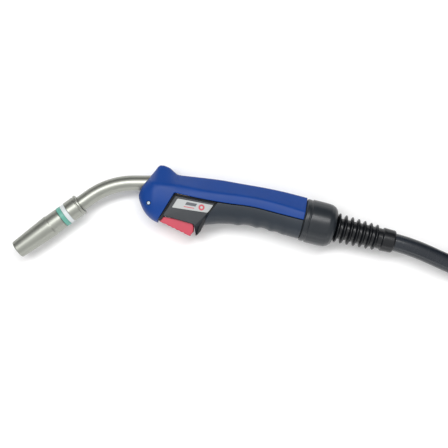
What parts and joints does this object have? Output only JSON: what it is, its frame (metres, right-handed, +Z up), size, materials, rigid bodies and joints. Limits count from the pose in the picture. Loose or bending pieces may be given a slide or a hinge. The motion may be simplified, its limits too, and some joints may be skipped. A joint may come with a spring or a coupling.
{
  "type": "mig welding torch",
  "caption": "Air-cooled MIG welding torch with a bent neck, conical gas nozzle, two-part handle with a hinged trigger, ribbed cable support, coaxial cable and central connector.",
  "frame": {"origin": "on the surface that the torch lies on, under the middle of the torch's own box without its free cable", "axes": "+X from the nozzle towards the cable, +Y from the trigger side to the top of the handle, +Z up, out of the side that faces away from the surface"},
  "size_m": [0.7648, 0.2753, 0.0698],
  "materials": {
    "nickel_tube": "satin nickel plate",
    "nickel_nozzle": "satin nickel plate on copper",
    "blue_plastic": "moulded, satin",
    "grip_rubber": "soft-touch",
    "dark_plastic": "fine texture",
    "black_rubber": "smooth rubber",
    "red_plastic": "moulded, satin",
    "label_film": "printed film",
    "white_insulator": "moulded",
    "teal_insulator": "moulded",
    "dark_sleeve": "plain",
    "copper": "drawn copper",
    "brass": "turned brass",
    "spring_steel": "spring wire",
    "zinc_screw": "zinc plated",
    "cable_jacket": "extruded rubber",
    "lead_wire": "insulated wire",
    "tie_strap": "hook and loop strap"
  },
  "bodies": {
    "torch": {"block_screw": "zinc_screw", "cable_coil": "cable_jacket", "cable_end": "cable_jacket", "cable_lead": "cable_jacket", "cable_support": "black_rubber", "cable_tail": "cable_jacket", "coil_tie_left": "tie_strap", "coil_tie_right": "tie_strap", "conductor_block": "brass", "contact_tip": "copper", "copper_core": "copper", "crimp_ferrule": "brass", "gas_diffuser": "white_insulator", "grip_insert_far": "grip_rubber", "grip_insert_near": "grip_rubber", "handle_screw": "zinc_screw", "handle_shell_far": "blue_plastic", "handle_shell_near": "blue_plastic", "housing_label": "label_film", "insulator_ring": "white_insulator", "liner_nut": "brass", "microswitch": "dark_plastic", "neck_head": "nickel_tube", "neck_inner_tube": "copper", "neck_insulation": "dark_sleeve", "neck_outer_tube": "nickel_tube", "nozzle_ring": "teal_insulator", "nozzle_spring": "spring_steel", "plug_body": "brass", "plug_cable_end": "cable_jacket", "plug_insulator": "dark_plastic", "plug_o_ring": "black_rubber", "plug_screws": "zinc_screw", "plug_shell_lower": "dark_plastic", "plug_shell_upper": "dark_plastic", "plug_sleeve": "black_rubber", "rear_collar": "dark_plastic", "switch_leads": "lead_wire", "tip_adaptor": "brass", "trigger_housing": "dark_plastic", "trigger_pin": "zinc_screw", "wire_liner": "spring_steel"},
    "trigger": {"trigger_key": "red_plastic", "trigger_spring": "spring_steel"},
    "plunger": {"switch_plunger": "white_insulator"},
    "nozzle": {"gas_nozzle": "nickel_nozzle"},
    "union": {"union_nut": "dark_plastic"},
    "pin_left": {"control_pin_left": "brass"},
    "pin_right": {"control_pin_right": "brass"}
  },
  "joints": [
    {"name": "trigger_press", "type": "hinge", "parent": "torch", "child": "trigger", "pos_m": [-0.016, -0.011, 0.024], "axis": [0, 0, -1], "range_deg": [0, 6.5], "stiffness_Nm_per_rad": 0.5, "springref_deg": -5.73},
    {"name": "switch_press", "type": "slide", "parent": "torch", "child": "plunger", "axis": [0.2756, 0.9613, 0], "range_m": [0, 0.0021]},
    {"name": "nozzle_pull", "type": "slide", "parent": "torch", "child": "nozzle", "axis": [-0.809, -0.5878, 0], "range_m": [0, 0.06]},
    {"name": "union_nut_turn", "type": "hinge", "parent": "torch", "child": "union", "pos_m": [0.514, 0.1346, 0.0448], "axis": [0, 1, 0], "continuous": true},
    {"name": "pin_left_press", "type": "slide", "parent": "torch", "child": "pin_left", "axis": [0, -1, 0], "range_m": [0, 0.004], "stiffness_N_per_m": 400, "springref_m": -0.002},
    {"name": "pin_right_press", "type": "slide", "parent": "torch", "child": "pin_right", "axis": [0, -1, 0], "range_m": [0, 0.004], "stiffness_N_per_m": 400, "springref_m": -0.002}
  ],
  "couplings": [
    {"joint": "switch_press", "follows": "trigger_press", "m_per_rad": 0.0174}
  ]
}
